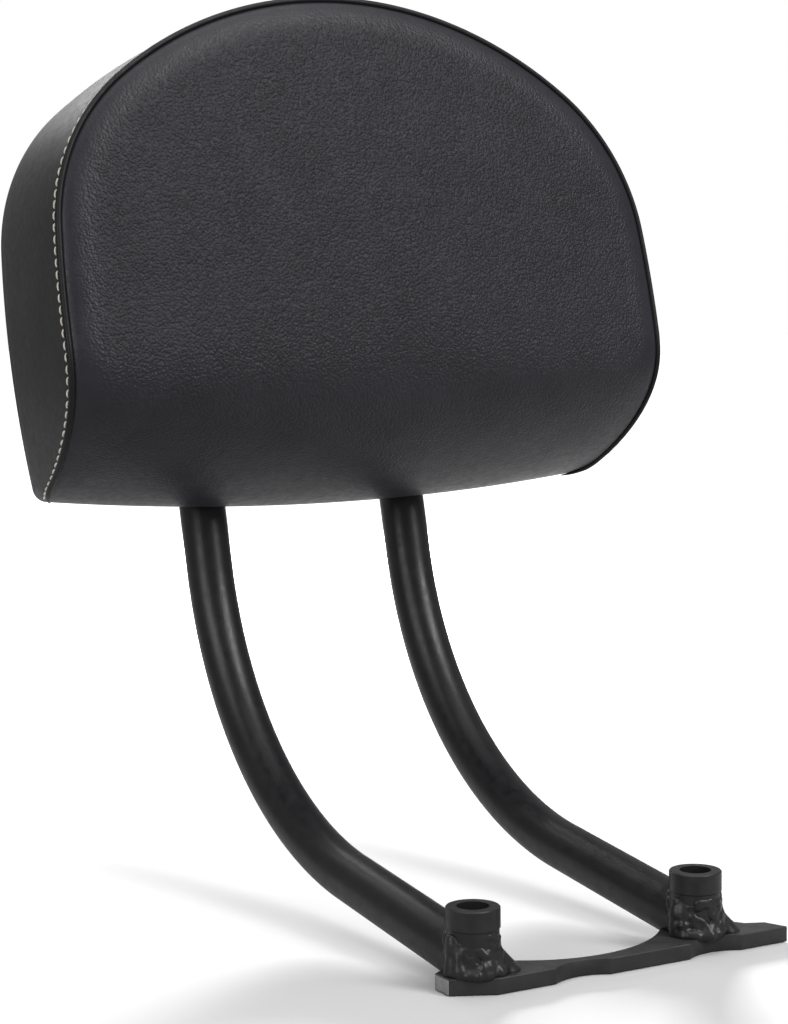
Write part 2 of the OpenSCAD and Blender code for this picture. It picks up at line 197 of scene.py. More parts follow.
def leather(name, dark, light, rough, pebble, grain_mm, depth_mm):
    """Pebbled vinyl. pebble is an attribute that fades the grain, or None for even grain."""
    n = Nodes(name)
    # the cells of the grain are bent out of line by up to a millimetre
    warp = n.add("TexNoise", {"Vector": n.place()}, in_Scale=450.0, in_Detail=2.0)
    moved = n.add("VectorMath", operation="MULTIPLY_ADD")
    n.join(warp.outputs["Color"], moved.inputs[0])
    moved.inputs[1].default_value = (0.0011, 0.0011, 0.0011)
    n.join(n.place(), moved.inputs[2])
    cells = n.add("TexVoronoi", {"Vector": moved.outputs["Vector"]}, feature="SMOOTH_F1",
                  in_Scale=1000.0 / grain_mm, in_Smoothness=0.15)
    fine = n.add("TexNoise", {"Vector": n.place()}, in_Scale=2600.0, in_Detail=4.0)
    height = n.add("Math", operation="MULTIPLY_ADD")
    n.join(fine.outputs["Fac"], height.inputs[0])
    height.inputs[1].default_value = 0.35
    inverse = n.add("Math", {0: cells.outputs["Distance"]}, operation="MULTIPLY")
    inverse.inputs[1].default_value = -1.0
    n.join(inverse.outputs["Value"], height.inputs[2])
    grain = height.outputs["Value"]
    if pebble:
        strength = n.add("Attribute", attribute_name=pebble).outputs["Fac"]
        scaled = n.add("Math", operation="MULTIPLY")
        n.join(grain, scaled.inputs[0])
        n.join(strength, scaled.inputs[1])
        grain = scaled.outputs["Value"]
    slow = n.scatter(55.0, 0.0, 1.0)
    n.join(n.tint(slow, dark, light), n.shader.inputs["Base Color"])
    n.join(n.scatter(320.0, rough - 0.05, rough + 0.06), n.shader.inputs["Roughness"])
    swell = n.bump(n.scatter(38.0, 0.0, 1.0, 2.0), 0.0006, 0.35)
    n.join(n.bump(grain, depth_mm * MM, 1.0, swell), n.shader.inputs["Normal"])
    n.set(Specular_IOR_Level=0.35)
    return n.material


def painted_steel(name, colour, worn, rough):
    """Powder coat: a fine skin of orange peel with a little dust and rub."""
    n = Nodes(name)
    rub = n.scatter(140.0, 0.0, 1.0, 5.0)
    n.join(n.tint(rub, colour, worn), n.shader.inputs["Base Color"])
    n.join(n.scatter(260.0, rough - 0.06, rough + 0.07), n.shader.inputs["Roughness"])
    peel = n.add("TexNoise", {"Vector": n.place()}, in_Scale=1500.0, in_Detail=3.0)
    n.join(n.bump(peel.outputs["Fac"], 0.00008, 0.7), n.shader.inputs["Normal"])
    n.set(Specular_IOR_Level=0.5)
    return n.material


def bare_metal(name, colour, rough):
    """Bare metal with a fine brushed skin: zinc plate, and the bright steel that stands in for a painted
    highlight on the plate's end.
    """
    n = Nodes(name)
    n.join(n.tint(n.scatter(300.0, 0.0, 1.0), colour, tuple(c * 0.75 for c in colour)),
           n.shader.inputs["Base Color"])
    n.join(n.scatter(900.0, rough - 0.08, rough + 0.1), n.shader.inputs["Roughness"])
    brush = n.add("TexNoise", {"Vector": n.place()}, in_Scale=2200.0, in_Detail=2.0)
    n.join(n.bump(brush.outputs["Fac"], 0.00004, 0.6), n.shader.inputs["Normal"])
    n.set(Metallic=1.0)
    return n.material


def plastic(name, colour, rough):
    """Moulded plastic with a finely pitted skin."""
    n = Nodes(name)
    n.join(n.tint(n.scatter(90.0, 0.0, 1.0), colour, tuple(c * 1.3 for c in colour)),
           n.shader.inputs["Base Color"])
    n.join(n.scatter(500.0, rough - 0.05, rough + 0.05), n.shader.inputs["Roughness"])
    spark = n.add("TexNoise", {"Vector": n.place()}, in_Scale=3000.0, in_Detail=2.0)
    n.join(n.bump(spark.outputs["Fac"], 0.00005, 0.8), n.shader.inputs["Normal"])
    return n.material


def thread_material(name, colour):
    """Twisted thread."""
    n = Nodes(name)
    ply = n.add("TexWave", {"Vector": n.place()}, in_Scale=420.0, in_Distortion=2.0)
    ply.bands_direction = "DIAGONAL"
    n.join(n.tint(n.scatter(800.0, 0.0, 1.0), colour, tuple(c * 0.7 for c in colour)),
           n.shader.inputs["Base Color"])
    n.join(n.bump(ply.outputs["Fac"], 0.0001, 0.8), n.shader.inputs["Normal"])
    n.set(Roughness=0.7)
    return n.material


def plywood(name):
    """Bare ply with its rings."""
    n = Nodes(name)
    rings = n.add("TexWave", {"Vector": n.place()}, in_Scale=60.0, in_Distortion=6.0, in_Detail=3.0)
    n.join(n.tint(rings.outputs["Fac"], (0.5, 0.36, 0.2), (0.32, 0.2, 0.1)), n.shader.inputs["Base Color"])
    n.join(n.bump(rings.outputs["Fac"], 0.0001, 0.5), n.shader.inputs["Normal"])
    n.set(Roughness=0.7)
    return n.material


FRONT_VINYL = leather("front_vinyl", (0.0175, 0.017, 0.0225), (0.024, 0.0235, 0.030), 0.42,
                      "pebble", 1.15, 0.64)
BAND_VINYL = leather("band_vinyl", (0.016, 0.0155, 0.016), (0.021, 0.0205, 0.021), 0.42, None, 0.6, 0.035)
WELT_VINYL = leather("welt_vinyl", (0.002, 0.002, 0.003), (0.005, 0.005, 0.006), 0.5, None, 0.5, 0.03)
REAR_VINYL = leather("rear_vinyl", (0.012, 0.012, 0.013), (0.018, 0.018, 0.019), 0.6, None, 0.9, 0.08)
THREAD = thread_material("cream_thread", (0.97, 0.91, 0.82))
TUBE_PAINT = painted_steel("tube_paint", (0.005, 0.005, 0.0065), (0.010, 0.010, 0.0115), 0.36)
PLATE_PAINT = painted_steel("plate_paint", (0.025, 0.0245, 0.026), (0.041, 0.040, 0.042), 0.42)
WELD_PAINT = painted_steel("weld_paint", (0.010, 0.010, 0.011), (0.020, 0.0195, 0.021), 0.38)
# bright bare steel for the plate's left end: a painted highlight standing in for a lamp's gleam there
END_HIGHLIGHT_STEEL = bare_metal("painted_highlight_steel", (0.62, 0.61, 0.62), 0.5)
ZINC = bare_metal("zinc_steel_looks", (0.62, 0.61, 0.58), 0.34)
CAP_PLASTIC = plastic("cap_plastic", (0.008, 0.008, 0.008), 0.5)
BOARD = plywood("board_ply")


# Cushion

def turn_sine(k):
    return sind(TURNS[k + 1]) - sind(TURNS[k])


def turn_drop(k):
    return cosd(TURNS[k]) - cosd(TURNS[k + 1])


def outline_arcs():
    """Radii of the D outline: top, shoulder, side, lower corner and bottom."""
    top_w = PAD_W / 2 - SIDE_R * (1 - sind(TURNS[2]))
    bottom_w = top_w + SIDE_R * turn_sine(2) + CORNER_R * turn_sine(3)
    bottom_r = bottom_w / sind(TURNS[4])
    top_h = PAD_H - SIDE_R * turn_drop(2) - CORNER_R * turn_drop(3) - bottom_r * turn_drop(4)
    solve = turn_sine(0) * turn_drop(1) - turn_drop(0) * turn_sine(1)
    top_r = (top_w * turn_drop(1) - top_h * turn_sine(1)) / solve
    shoulder_r = (turn_sine(0) * top_h - turn_drop(0) * top_w) / solve
    return top_r, shoulder_r, SIDE_R, CORNER_R, bottom_r


ARCS = outline_arcs()
ARC_STEPS = (26, 34, 30, 18, 28)
HALF_TURNS = [TURNS[k] + (TURNS[k + 1] - TURNS[k]) * i / ARC_STEPS[k]
              for k in range(5) for i in range(ARC_STEPS[k])]
RIM = ([(t, 1) for t in HALF_TURNS] + [(180, 1)] + [(t, -1) for t in HALF_TURNS[:0:-1]])
RIM_N = len(RIM)
CORNER_Z = PAD_LOW + ARCS[4] * turn_drop(4)
WRAP_TOP = PAD_LOW + WRAP_H
MIDDLE_Z = PAD_LOW + PAD_H * 0.48
CROWN_POWER = 3
BACK_INSET, BACK_DEPTH = 2.4, 0.8


def rim_point(i, inset):
    turn, hand = RIM[i % RIM_N]
    x = z = 0.0
    for k, r in enumerate(ARCS):
        t = min(max(turn, TURNS[k]), TURNS[k + 1])
        x += (r - inset) * (sind(t) - sind(TURNS[k]))
        z += (r - inset) * (cosd(t) - cosd(TURNS[k]))
    return hand * x, PAD_LOW + PAD_H - inset + z


def front_depth(x, z, inset):
    low = inset + min(CORNER_Z, PAD_LOW + x * x / (2 * ARCS[4]))
    u = min(1, max(0, (WRAP_TOP - z) / (WRAP_TOP - low)))
    wrap = max(0, 1 - u ** (WRAP_START - (WRAP_START - WRAP_END) * u)) ** (1 / WRAP_END)
    return BAND_LOW + (PAD_D - inset - BAND_LOW) * wrap


def seam_depth(i, inset=0.0):
    return front_depth(*rim_point(i, inset), inset) if RIM[i % RIM_N][0] < TURNS[4] else BAND_LOW


def placed(x, z, depth):
    """From the flat drawing to the leaning frame: the cushion widens and drops to its front."""
    wider = 1 + 2 * PAD_FLARE / PAD_W * depth / PAD_D
    return Vector((x * wider, -PAD_BACK - depth, z - PAD_DROP * depth / PAD_D))


def band_point(i, share, inset=0.0):
    """A point of the side band, share 0 at the back to 1 at the seam."""
    seam = seam_depth(i, inset)
    swell = BAND_SWELL * math.sin(math.pi * share) * seam / PAD_D
    x, z = rim_point(i, inset - swell)
    return placed(x, z, seam * share)


def front_point(i, share, inset=0.0):
    """A point of the front panel, share 0 at the seam to 1 in its middle."""
    g = math.cos(math.pi / 2 * share)
    x, z = rim_point(i, inset)
    x, z = g * x, MIDDLE_Z + g * (z - MIDDLE_Z)
    depth = seam_depth(i, inset) if share == 0 else front_depth(x, z, inset)
    return placed(x, z, depth + PAD_CROWN * math.sqrt(1 - g ** CROWN_POWER))


BAND_ROWS = 16
FRONT_ROWS = 40
SEAM_TUCK, BAND_TUCK_WIDTH, FRONT_TUCK_WIDTH = 0.7, 2.2, 2.6
CLOTH_CAP = 5.0
WELT_R = 1.25
STITCH_PITCH, STITCH_LEN, STITCH_R, STITCH_BACK = 4.7, 3.6, 0.54, 4.3
WELT_LAST = RIM_N // 2 - ARC_STEPS[4]


def tucked(distance, width):
    """How far the cover dips at a distance from its seam, in millimetres."""
    return SEAM_TUCK * math.exp(-(distance / width) ** 2)


def cushion_rows():
    """Rows of points round the cushion: back edge, band, seam and front panel."""
    rows = [[placed(*rim_point(i, BACK_INSET), BACK_DEPTH) for i in range(RIM_N)]]
    for j in range(BAND_ROWS + 1):
        share = (j / BAND_ROWS) ** 0.85
        rows.append([band_point(i, share, tucked(seam_depth(i) * (1 - share), BAND_TUCK_WIDTH))
                     for i in range(RIM_N)])
    for j in range(1, FRONT_ROWS):
        share = (j / FRONT_ROWS) ** 1.25
        row = []
        for i in range(RIM_N):
            p = front_point(i, share)
            dip = tucked((p - front_point(i, 0)).length, FRONT_TUCK_WIDTH)
            row.append(p + Vector((0, dip, 0)))
        rows.append(row)
    return rows


def simulate(piece, sewn):
    """Swell the cushion like stuffed fabric. An evenly meshed copy is simulated as cloth with
    pressure, held along the seams and the back, and its movement is carried over smoothly."""
    scene = bpy.context.scene
    copy = new_object("cushion_cloth", piece.data.copy())
    even = copy.modifiers.new("even", "REMESH")
    even.mode = "VOXEL"
    even.voxel_size = 0.005
    shaped = copy.evaluated_get(bpy.context.evaluated_depsgraph_get())
    copy.data = bpy.data.meshes.new_from_object(shaped)
    copy.modifiers.clear()
    seams = KDTree(len(sewn))
    for k, index in enumerate(sewn):
        seams.insert(piece.data.vertices[index].co, k)
    seams.balance()
    group = copy.vertex_groups.new(name="sewn")
    for vertex in copy.data.vertices:
        far = seams.find(vertex.co)[2]
        group.add([vertex.index], 1.0 - smoothstep(0.004, 0.012, far), "REPLACE")
    before = [v.co.copy() for v in copy.data.vertices]
    cloth = copy.modifiers.new("stuffing", "CLOTH")
    settings = cloth.settings
    settings.quality = 6
    settings.mass = 0.25
    settings.tension_stiffness = 25
    settings.compression_stiffness = 25
    settings.shear_stiffness = 10
    settings.bending_stiffness = 3
    settings.use_pressure = True
    settings.uniform_pressure_force = 4.0
    settings.vertex_group_mass = "sewn"
    settings.effector_weights.gravity = 0
    cloth.collision_settings.use_collision = False
    frames = 20
    cloth.point_cache.frame_start, cloth.point_cache.frame_end = 1, frames
    for number in range(1, frames + 1):
        scene.frame_set(number)
    shaped = copy.evaluated_get(bpy.context.evaluated_depsgraph_get())
    moves = [v.co - a for v, a in zip(shaped.data.vertices, before)]
    scene.frame_set(1)
    near = KDTree(len(before))
    for k, a in enumerate(before):
        near.insert(a, k)
    near.balance()
    reach = 0.016
    for vertex in piece.data.vertices:
        total, weight = Vector(), 1e-9
        for _, k, far in near.find_range(vertex.co, reach):
            w = (1 - far / reach) ** 2
            total += moves[k] * w
            weight += w
        move = total / weight
        if move.length > CLOTH_CAP * MM:
            move *= CLOTH_CAP * MM / move.length
        vertex.co += move * smoothstep(0.002, 0.02, seams.find(vertex.co)[2])
    piece.data.update()
    bpy.data.objects.remove(copy)


def make_cushion():
    rows = cushion_rows()
    verts = [LEANING @ p for row in rows for p in row]
    faces = grid_faces(len(rows), RIM_N)
    back, front = len(verts), len(verts) + 1
    verts += [LEANING @ placed(0, MIDDLE_Z, BACK_DEPTH), LEANING @ front_point(0, 1.0)]
    last = (len(rows) - 1) * RIM_N
    for i in range(RIM_N):
        k = (i + 1) % RIM_N
        faces.append((back, k, i))
        faces.append((front, last + i, last + k))
    cushion = new_piece("cushion", verts, faces, FRONT_VINYL)
    cushion.data.materials.append(BAND_VINYL)
    band_faces = (BAND_ROWS + 1) * RIM_N
    for index, face in enumerate(cushion.data.polygons):
        if index < band_faces or face.vertices[0] == back:
            face.material_index = 1
    seam_row = BAND_ROWS + 1
    held = list(range(3 * RIM_N)) + [back]
    held += list(range((seam_row - 1) * RIM_N, (seam_row + 2) * RIM_N))
    simulate(cushion, held)
    # the grain is pressed flat near the seam and where the panel turns under
    pebble = cushion.data.attributes.new("pebble", "FLOAT", "POINT")
    for j, row in enumerate(rows):
        for i, p in enumerate(row):
            if j <= seam_row:
                strength = 0.25
            else:
                edge = (rows[seam_row][i] - p).length
                strength = 0.12 + 0.88 * smoothstep(5, 20, edge) * smoothstep(20, 84, p.z)
            pebble.data[j * RIM_N + i].value = strength
    pebble.data[front].value = 1.0
    cushion.data.update()
    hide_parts("front_cover", "side_band", "foam_core")


def lengths_along(line):
    """The length from a line's start to each of its points."""
    lengths = [0.0]
    for a, b in zip(line, line[1:]):
        lengths.append(lengths[-1] + (b - a).length)
    return lengths


def place_along(line, outs, lengths, s):
    """The (point, outward, ahead) at a length s along a line."""
    k = max(0, min(len(line) - 2, int(np.searchsorted(lengths, s)) - 1))
    f = (s - lengths[k]) / max(lengths[k + 1] - lengths[k], 1e-6)
    out = outs[k].lerp(outs[k + 1], f).normalized()
    return line[k].lerp(line[k + 1], f), out, (line[k + 1] - line[k]).normalized()


def seam_path():
    """(point, outward) along the welt, from one lower corner over the top to the other."""
    path = []
    for i in range(-WELT_LAST, WELT_LAST + 1):
        turn, hand = RIM[i % RIM_N]
        out = Vector((hand * sind(turn), 0, cosd(turn)))
        path.append((band_point(i, 1.0), out))
    return path


def make_welt():
    """A round cord under the cover's edge."""
    path = seam_path()
    stations = []
    lean_only = LEANING.to_3x3()
    for k, (p, out) in enumerate(path):
        a, b = path[max(k - 1, 0)][0], path[min(k + 1, len(path) - 1)][0]
        along = (b - a).normalized()
        lift = (out + Vector((0, -1, 0))).normalized()
        side = along.cross(lift).normalized()
        lift = side.cross(along).normalized()
        end = min(1, 0.2 + min(k, len(path) - 1 - k) / 14)
        stations.append((LEANING @ (p + lift * (WELT_R * 0.45)), (lean_only @ side).normalized(),
                         (lean_only @ lift).normalized(), WELT_R * end * MM))
    welt = sweep("seam_welt_cord", stations, 10, WELT_VINYL)
    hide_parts("seam_welt")


def make_stitches():
    """One raised thread for each stitch, a little way behind the welt, on the band."""
    rng = random.Random(5)
    line, outs = [], []
    for i in range(-WELT_LAST, WELT_LAST + 1):
        turn, hand = RIM[i % RIM_N]
        seam = seam_depth(i)
        back = min(STITCH_BACK, seam * 0.35)
        share = 1 - back / seam
        line.append(band_point(i, share, tucked(back, BAND_TUCK_WIDTH)))
        outs.append(Vector((hand * sind(turn), 0, cosd(turn))))
    lengths = lengths_along(line)
    verts, faces = [], []
    rings, sides = 9, 8
    start = 6.0
    count = int((lengths[-1] - 2 * start) / STITCH_PITCH)
    for c in range(count):
        middle = start + STITCH_PITCH * (c + 0.5) + rng.uniform(-0.15, 0.15)
        tilt = rng.uniform(0.02, 0.09)
        base = len(verts)
        for q in range(rings):
            share = q / (rings - 1) * 2 - 1
            p, out, along = place_along(line, outs, lengths, middle + share * STITCH_LEN / 2)
            across = along.cross(out).normalized()
            r = STITCH_R * math.sqrt(max(0.02, 1 - share ** 4))
            rise = 0.35 * (1 - share ** 2) + 0.05
            centre = p + out * rise + across * (tilt * share * 2)
            for s in range(sides):
                t = 2 * math.pi * s / sides
                verts.append(LEANING @ (centre + r * (math.cos(t) * across + math.sin(t) * 0.8 * out)))
        faces += grid_faces(rings, sides, base)
        faces += end_faces(rings, sides, base)
    new_piece("top_stitches", verts, faces, THREAD)


# Tubes

LOW_STEPS, BEND_STEPS, UP_STEPS = 22, 60, 20
COPE_ROWS, COPE_DEPTH, SHARP_ANGLE = 6, 0.5, 40


def tube_stations():
    """(y, z, angle) along a tube's axis, in millimetres and degrees."""
    out = []
    for k in range(LOW_STEPS):
        p = LOW_START + (BEND_START - LOW_START) * k / LOW_STEPS
        out.append((p[0], p[1], LOW_ANGLE))
    for k in range(BEND_STEPS + 1):
        a = LOW_ANGLE + BEND_ANGLE * k / BEND_STEPS
        out.append((BEND_CENTRE[0] + BEND_R * sind(a), BEND_CENTRE[1] - BEND_R * cosd(a), a))
    for k in range(1, UP_STEPS + 1):
        d = UP_LEN * k / UP_STEPS
        out.append((BEND_END[0] + d * cosd(UP_ANGLE), BEND_END[1] + d * sind(UP_ANGLE), UP_ANGLE))
    return out


def make_tube(side, name, node):
    """A smooth hollow bent tube whose lower end is coped to the bush."""
    sides = 72
    verts = []
    stations = tube_stations()
    outer = [(k, TUBE_R) for k in range(len(stations))]
    inner = [(k, TUBE_R - TUBE_WALL) for k in reversed(range(len(stations)))]
    rows = outer + inner
    for k, radius in rows:
        y, z, a = stations[k]
        for s in range(sides):
            t = 2 * math.pi * s / sides
            x = radius * math.cos(t)
            py = y - radius * math.sin(t) * sind(a)
            pz = z + radius * math.sin(t) * cosd(a)
            if k < COPE_ROWS:
                # these rows run evenly from the bush's surface to the first plain row
                flank = math.sqrt(max(0, (BODY_R - COPE_DEPTH) ** 2 - x * x))
                plain = stations[COPE_ROWS][0] - radius * math.sin(t) * sind(a)
                moved = flank + (plain - flank) * k / COPE_ROWS
                pz += (moved - py) * math.tan(math.radians(a))
                py = moved
            verts.append(Vector((side * HALF_SPAN + x, py, pz)) * MM)
    faces = grid_faces(len(rows), sides)
    last = (len(rows) - 1) * sides
    for s in range(sides):
        n = (s + 1) % sides
        faces.append((last + s, last + n, n, s))
    tube = new_piece(name, verts, faces, TUBE_PAINT)
    tube.data.set_sharp_from_angle(angle=math.radians(SHARP_ANGLE))
    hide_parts(node)


# Welds

def bead_chain(path, rng, width, height, pitch):
    """Overlapping weld ripples along a path of (point, normal), as round lumps."""
    line, normals = [p for p, _ in path], [normal for _, normal in path]
    lengths = lengths_along(line)
    lumps = []
    s = 0.0
    while s <= lengths[-1]:
        p, normal, along = place_along(line, normals, lengths, s)
        size = rng.uniform(0.85, 1.15)
        centre = p + normal * (rng.uniform(-0.3, 0.3) - 0.35 * height)
        lumps.append((centre, along, normal, width * size, height * size * 1.25))
        s += pitch * rng.uniform(0.8, 1.2)
    return lumps


# a lump's length along its bead, as a share of its width
LUMP_LENGTH = 0.62
WELD_GRAIN, QUICK_WELD_GRAIN = 0.4, 0.9
WELD_MELT, WELD_ROUGHNESS, WELD_ROUGHNESS_SCALE = 22, 0.24, 230


def make_weld(name, lumps, fillets, node=None):
    """Lumps and fillets fused into one skin, with a little roughness left in it."""
    bm = bmesh.new()
    for p, along, normal, width, height in lumps:
        across = along.cross(normal).normalized()
        up = across.cross(along).normalized()
        made = bmesh.ops.create_icosphere(bm, subdivisions=3, radius=1.0)
        axes = Matrix((along * width * LUMP_LENGTH, across * width, up * height)).transposed()
        shape = Matrix.Translation(p) @ axes.to_4x4()
        bmesh.ops.transform(bm, matrix=Matrix.Scale(MM, 4) @ shape, verts=made["verts"])
    for verts, faces in fillets:
        made = [bm.verts.new(v) for v in verts]
        for face in faces:
            bm.faces.new([made[k] for k in face])
    mesh = bpy.data.meshes.new(name)
    bm.to_mesh(mesh)
    bm.free()
    piece = new_object(name, mesh)
    remesh = piece.modifiers.new("fuse", "REMESH")
    remesh.mode = "VOXEL"
    remesh.voxel_size = WELD_GRAIN * MM
    melt = piece.modifiers.new("melt", "SMOOTH")
    melt.iterations = WELD_MELT
    melt.factor = 0.5
    shaped = piece.evaluated_get(bpy.context.evaluated_depsgraph_get())
    fused = bpy.data.meshes.new_from_object(shaped)
    piece.modifiers.clear()
    piece.data = fused
    for vertex in fused.vertices:
        rough = WELD_ROUGHNESS * MM * noise.noise(vertex.co * WELD_ROUGHNESS_SCALE)
        vertex.co += vertex.normal * rough
    all_smooth(fused)
    fused.materials.clear()
    fused.materials.append(WELD_PAINT)
    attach(piece, "root")
    if node:
        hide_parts(node)


def foot_fillet(side, start, end, foot, height, steps=40):
    """A leaning skirt round a bush's foot between two directions, in degrees from +X."""
    verts = []
    for k in range(steps + 1):
        t = math.radians(start + (end - start) * k / steps)
        # the skirt fades out towards both of its ends
        fade = math.sin(math.pi * min(1, max(0, (k + 4) / (steps + 8)))) ** 0.5
        f, h = foot * fade, height * (0.55 + 0.45 * fade)
        # (distance out of the bush, height) from inside the bush and plate, out and up the skirt
        profile = [(-1.0, -0.6), (f, -0.6), (f, 0.2), (f * 0.52, h * 0.46),
                   (f * 0.2, h * 0.78), (0.1, h), (-1.0, h)]
        for out, z in profile:
            r = BODY_R + out
            verts.append(Vector((side * HALF_SPAN + r * math.cos(t), r * math.sin(t), PLATE_T + z)) * MM)
    return verts, grid_faces(steps + 1, len(profile)) + end_faces(steps + 1, len(profile))


def fish_mouth(side, hand, low=-0.2, steps=16):
    """The line where a tube meets its bush, on one flank, with the direction out of the corner."""
    path = []
    for k in range(steps + 1):
        share = low + (1 - low) * k / steps
        t = math.pi / 2 * share
        x = hand * TUBE_R * math.cos(t) * 0.985
        y = math.sqrt(max(0.1, BODY_R ** 2 - x * x))
        z = LOW_START[1] + y * math.tan(math.radians(LOW_ANGLE)) + TUBE_R * math.sin(t)
        p = Vector((side * HALF_SPAN + x, y, z))
        normal = Vector((hand * math.cos(t), -0.15, math.sin(t))).normalized()
        path.append((p, normal))
    return path


def on_bush(side, around, height, out=0.0):
    """A place on a bush's side and the direction out of it, around in degrees from +X."""
    t = math.radians(around)
    normal = Vector((math.cos(t), math.sin(t), 0))
    return Vector((side * HALF_SPAN, 0, PLATE_T + height)) + normal * (BODY_R + out), normal


def weld_run(side, start, end, rng, width, height, pitch):
    """A bead up or round a bush's side, between two (around, height, out) places."""
    path = []
    for k in range(13):
        f = k / 12
        around, h, out = (a + (b - a) * f for a, b in zip(start, end))
        path.append(on_bush(side, around, h, out))
    return bead_chain(path, rng, width, height, pitch)


def spatter(side, arc, heights, count, sizes, rng):
    """Uneven lumps scattered over a stretch of a bush's side."""
    lumps = []
    for _ in range(count):
        around = rng.uniform(*arc)
        h = heights[0] + (heights[1] - heights[0]) * rng.random() ** 1.4
        size = rng.uniform(*sizes)
        p, normal = on_bush(side, around, h, -size * 0.22)
        along = Vector((normal.y, -normal.x, 0)) * rng.uniform(-1, 1) + Vector((0, 0, rng.uniform(0.5, 1)))
        lumps.append((p, along.normalized(), normal, size, size * rng.uniform(0.4, 0.7)))
    return lumps


def make_bush_welds(side, name, node, seed):
    """Heavy hand-laid welds: up both sides of the tube's mouth, round the foot, and a web to the right."""
    rng = random.Random(seed)
    lumps = []
    for hand in (LEFT, RIGHT):
        lumps += bead_chain(fish_mouth(side, hand), rng, 2.2, 1.5, 1.5)
    # thick runs up the bush's left flank and its front
    lumps += weld_run(side, (-172, 1, 1.6), (-176, 14, 0.2), rng, 2.9, 1.9, 1.4)
    lumps += weld_run(side, (-150, 0.8, 2.0), (-163, 12.5, 0.0), rng, 2.4, 1.4, 1.5)
    # the foot, low at the front and thicker towards the web
    lumps += weld_run(side, (-175, 0.8, 1.4), (-95, 0.9, 1.2), rng, 2.4, 1.7, 1.7)
    lumps += weld_run(side, (-95, 0.9, 1.2), (-20, 1.6, 1.6), rng, 2.8, 2.2, 1.7)
    lumps += weld_run(side, (-100, 3.0, 0.3), (-25, 4.6, 0.9), rng, 2.8, 1.7, 1.9)
    lumps += weld_run(side, (-80, 6.0, 0.0), (-30, 8.0, 0.3), rng, 2.6, 1.4, 2.0)
    lumps += weld_run(side, (-42, 8.0, 0.0), (-28, 13.0, -0.3), rng, 2.2, 1.3, 1.6)
    lumps += spatter(side, (-165, -15), (1.0, 12.0), 44, (1.6, 3.0), rng)
    lumps += spatter(side, (-130, -50), (6.0, 14.5), 16, (1.5, 2.8), rng)
    if side == RIGHT:
        lumps += spatter(side, (-60, -5), (4.0, 15.5), 16, (1.6, 2.8), rng)
    fillets = [foot_fillet(side, -46, 20, 8.4, 9.5), foot_fillet(side, -170, -40, 2.2, 3.4)]
    make_weld(name, lumps, fillets, node)


CROSS_BEAD_LEN, CROSS_BEAD_OUT = 18, 5.2


def make_cross_welds():
    """Short beads where the cross plates are welded to the tubes' flanks."""
    rng = random.Random(9)
    lean_only = LEANING.to_3x3().normalized()
    lumps = []
    for middle in CROSS_Z:
        for side in (LEFT, RIGHT):
            for hand in (LEFT, RIGHT):
                x = side * HALF_SPAN + hand * CROSS_BEAD_OUT
                path = []
                for k in range(9):
                    z = middle + CROSS_BEAD_LEN * (k / 8 - 0.5)
                    p = LEANING @ Vector((x, -PAD_BACK + CROSS_T + 0.6, z))
                    path.append((p / MM, lean_only @ Vector((hand * 0.6, 0.8, 0)).normalized()))
                lumps += bead_chain(path, rng, 2.2, 1.3, 1.9)
    make_weld("cross_plate_welds", lumps, [])


# Plate and the other nodes

PLATE_ROUND, ROUNDED_ANGLE, END_FACING = 0.35, 25, 0.95


def make_plate():
    """The base plate again with its sharp edges rubbed a little round."""
    source = bpy.data.objects["base_plate"]
    bm = bmesh.new()
    bm.from_mesh(source.data)
    bm.transform(source.matrix_world)
    bmesh.ops.remove_doubles(bm, verts=bm.verts, dist=1e-6)
    bmesh.ops.dissolve_limit(bm, angle_limit=math.radians(1), verts=bm.verts, edges=bm.edges)
    sharp = [edge for edge in bm.edges
             if len(edge.link_faces) == 2 and edge.calc_face_angle() > math.radians(ROUNDED_ANGLE)]
    bmesh.ops.bevel(bm, geom=sharp, offset=PLATE_ROUND * MM, segments=2, profile=0.5, affect="EDGES",
                    clamp_overlap=True)
    bmesh.ops.triangulate(bm, faces=bm.faces)
    mesh = bpy.data.meshes.new("plate_soft_edges")
    bm.to_mesh(mesh)
    bm.free()
    plate = new_object("plate_soft_edges", mesh)
    plate.data.materials.append(PLATE_PAINT)
    plate.data.materials.append(END_HIGHLIGHT_STEEL)
    # the plate's left end gets bright bare steel as a painted highlight, standing in for a light's gleam
    # on that face
    for face in mesh.polygons:
        if face.center.x < -HALF_SPAN * MM and face.normal.x < -END_FACING:
            face.material_index = 1
    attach(plate, "root")
    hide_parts("base_plate")


def dress(node, material):
    for slot in bpy.data.objects[node].material_slots:
        slot.material = material


make_cushion()
make_welt()
make_stitches()
make_tube(LEFT, "left_bent_tube", "left_tube")
make_tube(RIGHT, "right_bent_tube", "right_tube")
make_bush_welds(LEFT, "left_bush_weld", "left_foot_weld", 3)
make_bush_welds(RIGHT, "right_bush_weld", "right_foot_weld", 8)
make_cross_welds()
make_plate()

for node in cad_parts:
    if node.startswith(("screw", "washer", "tee_nut")):
        dress(node, ZINC)
    elif node.endswith("end_cap"):
        dress(node, CAP_PLASTIC)
    elif node == "backrest_board":
        dress(node, BOARD)
    elif node == "rear_cover":
        dress(node, REAR_VINYL)
    elif node in ("left_bush", "right_bush"):
        dress(node, WELD_PAINT)
    elif node in ("lower_cross_plate", "upper_cross_plate"):
        dress(node, PLATE_PAINT)


# Studio

CAMERA_AT = Vector((-0.4916, -0.7030, 0.2453))
CAMERA_TURN, CAMERA_DOWN, CAMERA_ROLL = 30.28, 5.04, -0.57
CAMERA_LENS = 82.79
FLOOR_REACH, FLOOR_GAP = 12.0, 0.0002
# how pale the floor is to the light that it throws back, and to the camera
FLOOR_BOUNCE, FLOOR_PALE = 0.33, 0.66


